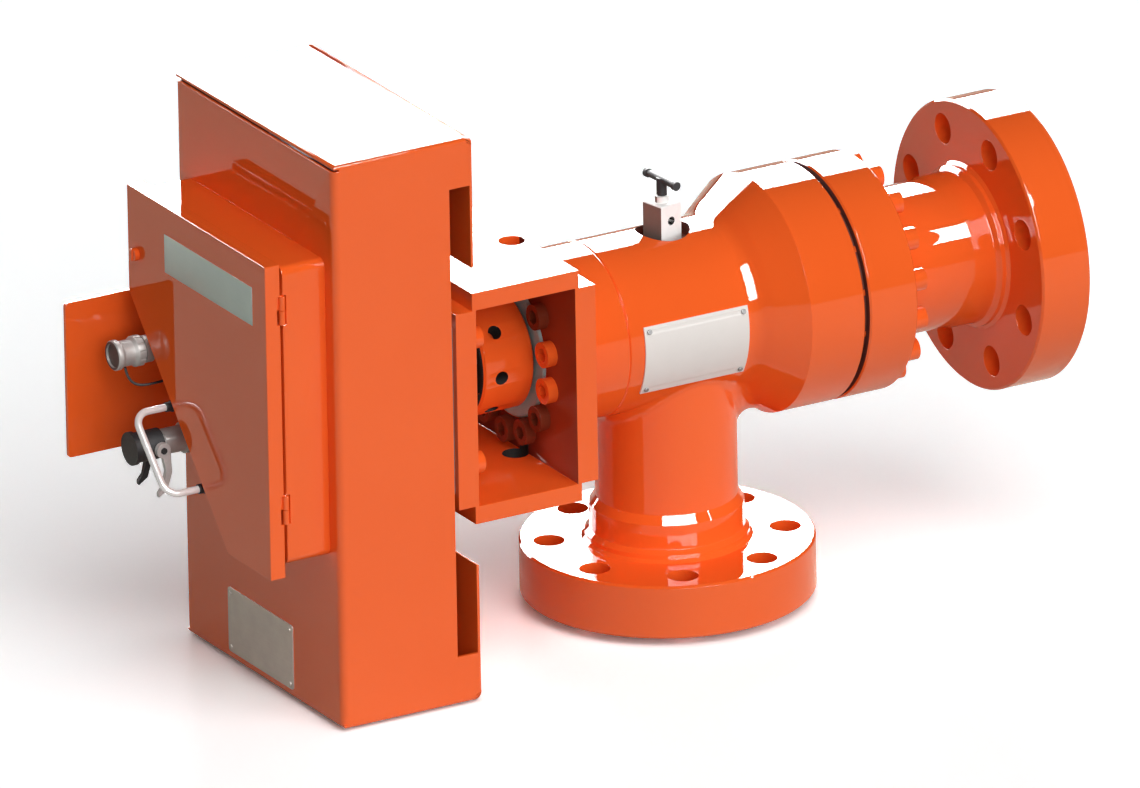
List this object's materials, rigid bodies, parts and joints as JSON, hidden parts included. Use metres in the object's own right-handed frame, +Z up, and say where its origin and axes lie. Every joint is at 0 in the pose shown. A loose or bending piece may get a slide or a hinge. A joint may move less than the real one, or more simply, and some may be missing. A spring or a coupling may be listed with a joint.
{
  "type": "choke valve",
  "caption": "Motor-driven rotating-plate choke valve with flanged bottom inlet and side outlet, yoke, drive cabinet and hinged control box.",
  "frame": {"origin": "centre of the inlet flange's raised face, on the ground", "axes": "+X along the pipe towards the outlet flange, +Z up out of the inlet, +Y away from the viewer"},
  "size_m": [0.915, 0.2945, 0.5432],
  "materials": {
    "orange_paint": "glossy orange paint",
    "orange_screws": "glossy orange paint over socket screws",
    "steel": "fine turned steel",
    "carbide": "lapped tungsten carbide",
    "seal": "black seal rubber",
    "cast": "grey cast housing",
    "bronze": "machined bronze",
    "motor_paint": "dark grey paint",
    "dark_plastic": "moulded dark grey plastic",
    "zinc": "zinc-plated sheet and bar",
    "chrome_steel": "polished bar",
    "black_steel": "black oxide",
    "connector_metal": "satin grey plating",
    "plate_metal": "satin bare plate"
  },
  "bodies": {
    "frame": {"bleed_valve_block": "steel", "body_nameplate": "plate_metal", "bonnet": "orange_paint", "bonnet_screws": "orange_screws", "cabinet_cover": "orange_paint", "cabinet_floor": "orange_paint", "cabinet_nameplate": "plate_metal", "cabinet_roof": "orange_paint", "cabinet_standoffs": "zinc", "cap_lanyard": "seal", "chamber_seals": "seal", "choke_body": "orange_paint", "control_box": "orange_paint", "drive_module": "dark_plastic", "fixed_plate": "carbide", "gear_cover": "cast", "gear_housing": "cast", "gland_retainer": "steel", "grab_handle": "chrome_steel", "guard_plate": "orange_paint", "guard_screws": "zinc", "handle_standoffs": "black_steel", "hinge_box_leaves": "orange_paint", "hinge_pins": "steel", "lower_connector": "connector_metal", "lower_connector_cap": "connector_metal", "motor_housing": "motor_paint", "mounting_plate": "zinc", "nameplate_rivets": "plate_metal", "outlet_spool": "orange_paint", "plate_carrier": "carbide", "position_sensor": "dark_plastic", "shaft_bearings": "steel", "spool_screws": "orange_screws", "stem_packing": "seal", "terminal_rail": "dark_plastic", "thrust_washer": "steel", "upper_connector": "connector_metal", "wear_sleeve": "carbide", "worm_bearings": "steel", "yoke_drive_screws": "orange_paint", "yoke_frame": "orange_paint"},
    "choke_rotor": {"choke_stem": "steel", "drive_fork": "steel", "rotating_plate": "carbide", "coupling_hub": "orange_paint", "output_shaft": "steel", "worm_wheel": "bronze"},
    "motor_shaft": {"worm_shaft": "steel", "motor_rotor": "motor_paint"},
    "box_door": {"control_box_door": "orange_paint", "hinge_door_leaves": "orange_paint", "door_gasket": "seal"},
    "latch": {"door_latch": "orange_paint"},
    "needle": {"bleed_needle": "steel"},
    "bleed_t": {"bleed_handle": "black_steel"},
    "plug_ring": {"upper_connector_cap": "connector_metal"},
    "near_lever": {"near_cam_lever": "connector_metal"},
    "far_lever": {"far_cam_lever": "connector_metal"}
  },
  "joints": [
    {"name": "choke_turn", "type": "hinge", "parent": "frame", "child": "choke_rotor", "pos_m": [0, 0, 0.273], "axis": [1, 0, 0], "range_deg": [0, 180]},
    {"name": "motor_turn", "type": "hinge", "parent": "frame", "child": "motor_shaft", "pos_m": [-0.342, 0.078, 0.273], "axis": [0, 0, 1], "range_deg": [-3600, 0]},
    {"name": "door_hinge", "type": "hinge", "parent": "frame", "child": "box_door", "pos_m": [-0.4645, -0.1255, 0.3], "axis": [0, 0, 1], "range_deg": [0, 105]},
    {"name": "latch_turn", "type": "hinge", "parent": "box_door", "child": "latch", "pos_m": [-0.482, 0.109, 0.392], "axis": [1, 0, 0], "range_deg": [0, 90]},
    {"name": "needle_lift", "type": "slide", "parent": "frame", "child": "needle", "axis": [0, 0, 1], "range_m": [0, 0.003]},
    {"name": "bleed_turn", "type": "hinge", "parent": "needle", "child": "bleed_t", "pos_m": [0, 0, 0.401], "axis": [0, 0, 1], "range_deg": [0, 1080]},
    {"name": "ring_turn", "type": "hinge", "parent": "frame", "child": "plug_ring", "pos_m": [-0.5, 0.112, 0.298], "axis": [1, 0, 0], "range_deg": [0, 90]},
    {"name": "near_lever_turn", "type": "hinge", "parent": "frame", "child": "near_lever", "pos_m": [-0.486, 0.0615, 0.219], "axis": [0, 1, 0], "range_deg": [0, 90]},
    {"name": "far_lever_turn", "type": "hinge", "parent": "frame", "child": "far_lever", "pos_m": [-0.486, 0.0985, 0.219], "axis": [0, 1, 0], "range_deg": [0, 90]}
  ],
  "couplings": [
    {"joint": "motor_turn", "follows": "choke_turn", "ratio": -20},
    {"joint": "bleed_turn", "follows": "needle_lift", "rad_per_m": 6283.1}
  ]
}
